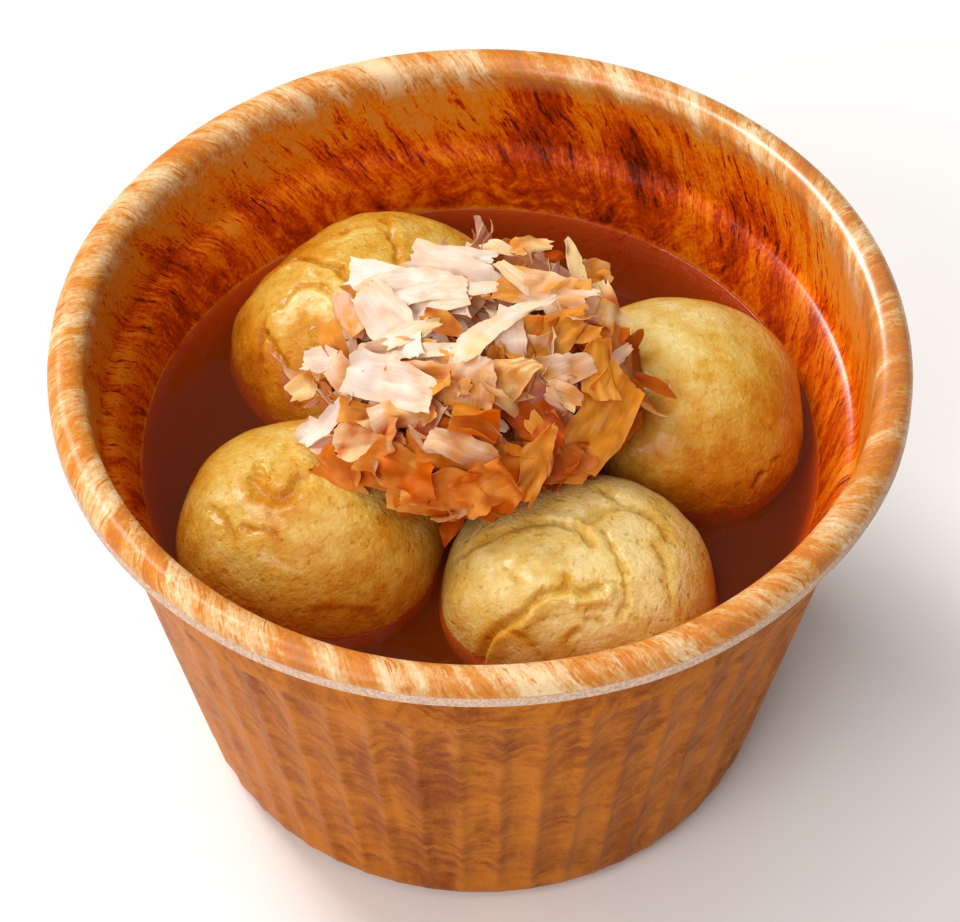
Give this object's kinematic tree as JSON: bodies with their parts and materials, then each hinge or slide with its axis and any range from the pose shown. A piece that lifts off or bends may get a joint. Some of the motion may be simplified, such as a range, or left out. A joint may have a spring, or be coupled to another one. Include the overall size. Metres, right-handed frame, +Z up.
{
  "type": "akashiyaki in a bowl of broth",
  "caption": "Soft round egg dumplings floating in brown dashi broth under a heap of bonito flakes, in a round fluted takeaway bowl with a wood-grain print.",
  "frame": {"origin": "centre of the bowl's base, in the plane that it stands on", "axes": "+Z up through the bowl's mouth, -Y towards the viewer, +X to the viewer's right"},
  "size_m": [0.13, 0.13, 0.0871],
  "materials": {
    "printed_foam": "satin film with a brown wood-grain print on pressed foam sheet, white at the cut edge",
    "dashi_broth": "clear brown broth with a wet surface",
    "egg_batter": "soft cooked egg batter, pale yellow with golden-brown patches, wet",
    "bonito_flakes": "thin translucent pink-beige shavings with torn edges"
  },
  "bodies": {
    "root": {"bowl": "printed_foam", "broth": "dashi_broth", "dumpling_back_left": "egg_batter", "dumpling_right": "egg_batter", "dumpling_front_left": "egg_batter", "dumpling_front_right": "egg_batter", "bonito_flakes": "bonito_flakes"}
  },
  "joints": []
}
